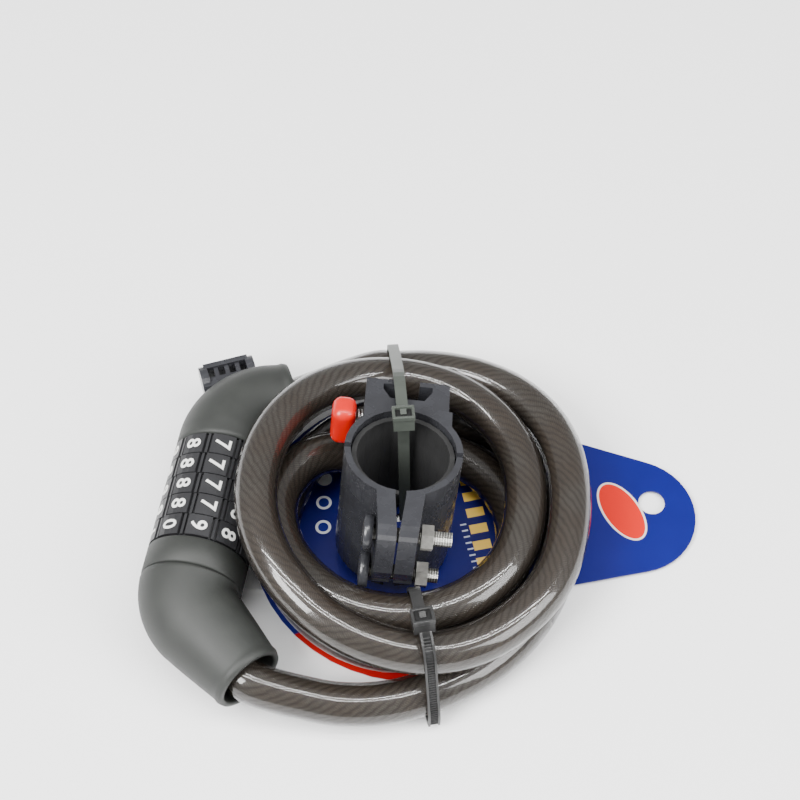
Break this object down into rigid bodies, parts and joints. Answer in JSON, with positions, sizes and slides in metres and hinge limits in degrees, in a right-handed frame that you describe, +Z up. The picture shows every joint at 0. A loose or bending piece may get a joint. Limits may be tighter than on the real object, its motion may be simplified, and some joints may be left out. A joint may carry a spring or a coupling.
{
  "type": "combination cable lock",
  "caption": "Combination cable lock with a coiled sheathed cable, number dials between two elbow covers, a clamp bracket with a push button, zip ties and a hang card.",
  "frame": {"origin": "middle of the object's box in plan, at floor level, measured without the cable", "axes": "+Z up; the lock barrel lies at -X with its axis nearly along +Y; the hang card's tongue points to +X; the clamp's bolts face -Y"},
  "size_m": [0.1588, 0.1202, 0.0491],
  "materials": {
    "cover_plastic": "matte dark grey",
    "dial_plastic": "dark grey with white digits",
    "bracket_plastic": "satin black",
    "zinc": "plated die casting",
    "steel": "plain",
    "sheathed_cable": "smoky clear sheath over a steel rope",
    "red_plastic": "gloss",
    "tie_plastic": "satin",
    "card_stock": "printed and varnished",
    "liner_rubber": "matte"
  },
  "bodies": {
    "lock": {"lock_elbow_cover": "cover_plastic", "mount_tongue": "cover_plastic", "lock_cable_ferrule": "zinc", "lock_ferrule_pin": "steel", "lock_core_barrel": "zinc", "dial_detent_spring": "steel", "cable_lead": "sheathed_cable", "cable_coil": "sheathed_cable", "bracket_saddle": "bracket_plastic", "clamp_arm_left": "bracket_plastic", "clamp_arm_right": "bracket_plastic", "clamp_liner": "liner_rubber", "clamp_bolt_upper": "steel", "clamp_bolt_lower": "steel", "clamp_nut_upper": "zinc", "clamp_nut_lower": "zinc", "button_spring": "steel", "tie_near": "tie_plastic", "tie_far": "tie_plastic", "hang_card": "card_stock"},
    "plug": {"plug_elbow_cover": "cover_plastic", "plug_cable_ferrule": "zinc", "plug_ferrule_pin": "steel", "plug_pin": "steel", "plug_core": "zinc"},
    "dial_1": {"dial_1": "dial_plastic", "code_ring_1": "zinc"},
    "dial_2": {"dial_2": "dial_plastic", "code_ring_2": "zinc"},
    "dial_3": {"dial_3": "dial_plastic", "code_ring_3": "zinc"},
    "dial_4": {"dial_4": "dial_plastic", "code_ring_4": "zinc"},
    "dial_5": {"dial_5": "dial_plastic", "code_ring_5": "zinc"},
    "collar": {"reset_collar": "cover_plastic"},
    "button": {"release_button": "red_plastic"}
  },
  "joints": [
    {"name": "dial_1_turn", "type": "hinge", "parent": "lock", "child": "dial_1", "pos_m": [-0.06085, 0.0021, 0.0146], "axis": [0.1668, 0.986, 0], "continuous": true},
    {"name": "dial_2_turn", "type": "hinge", "parent": "lock", "child": "dial_2", "pos_m": [-0.06085, 0.0021, 0.0146], "axis": [0.1668, 0.986, 0], "continuous": true},
    {"name": "dial_3_turn", "type": "hinge", "parent": "lock", "child": "dial_3", "pos_m": [-0.06085, 0.0021, 0.0146], "axis": [0.1668, 0.986, 0], "continuous": true},
    {"name": "dial_4_turn", "type": "hinge", "parent": "lock", "child": "dial_4", "pos_m": [-0.06085, 0.0021, 0.0146], "axis": [0.1668, 0.986, 0], "continuous": true},
    {"name": "dial_5_turn", "type": "hinge", "parent": "lock", "child": "dial_5", "pos_m": [-0.06085, 0.0021, 0.0146], "axis": [0.1668, 0.986, 0], "continuous": true},
    {"name": "collar_turn", "type": "hinge", "parent": "lock", "child": "collar", "pos_m": [-0.06085, 0.0021, 0.0146], "axis": [0.1668, 0.986, 0], "range_deg": [0, 90]},
    {"name": "plug_slide", "type": "slide", "parent": "lock", "child": "plug", "axis": [-0.1668, -0.986, 0], "range_m": [0, 0.045], "deforming": ["cable_lead"]},
    {"name": "button_press", "type": "slide", "parent": "lock", "child": "button", "axis": [0.9948, -0.0667, -0.0766], "range_m": [0, 0.0018], "stiffness_N_per_m": 3400, "deforming": ["button_spring"]}
  ]
}
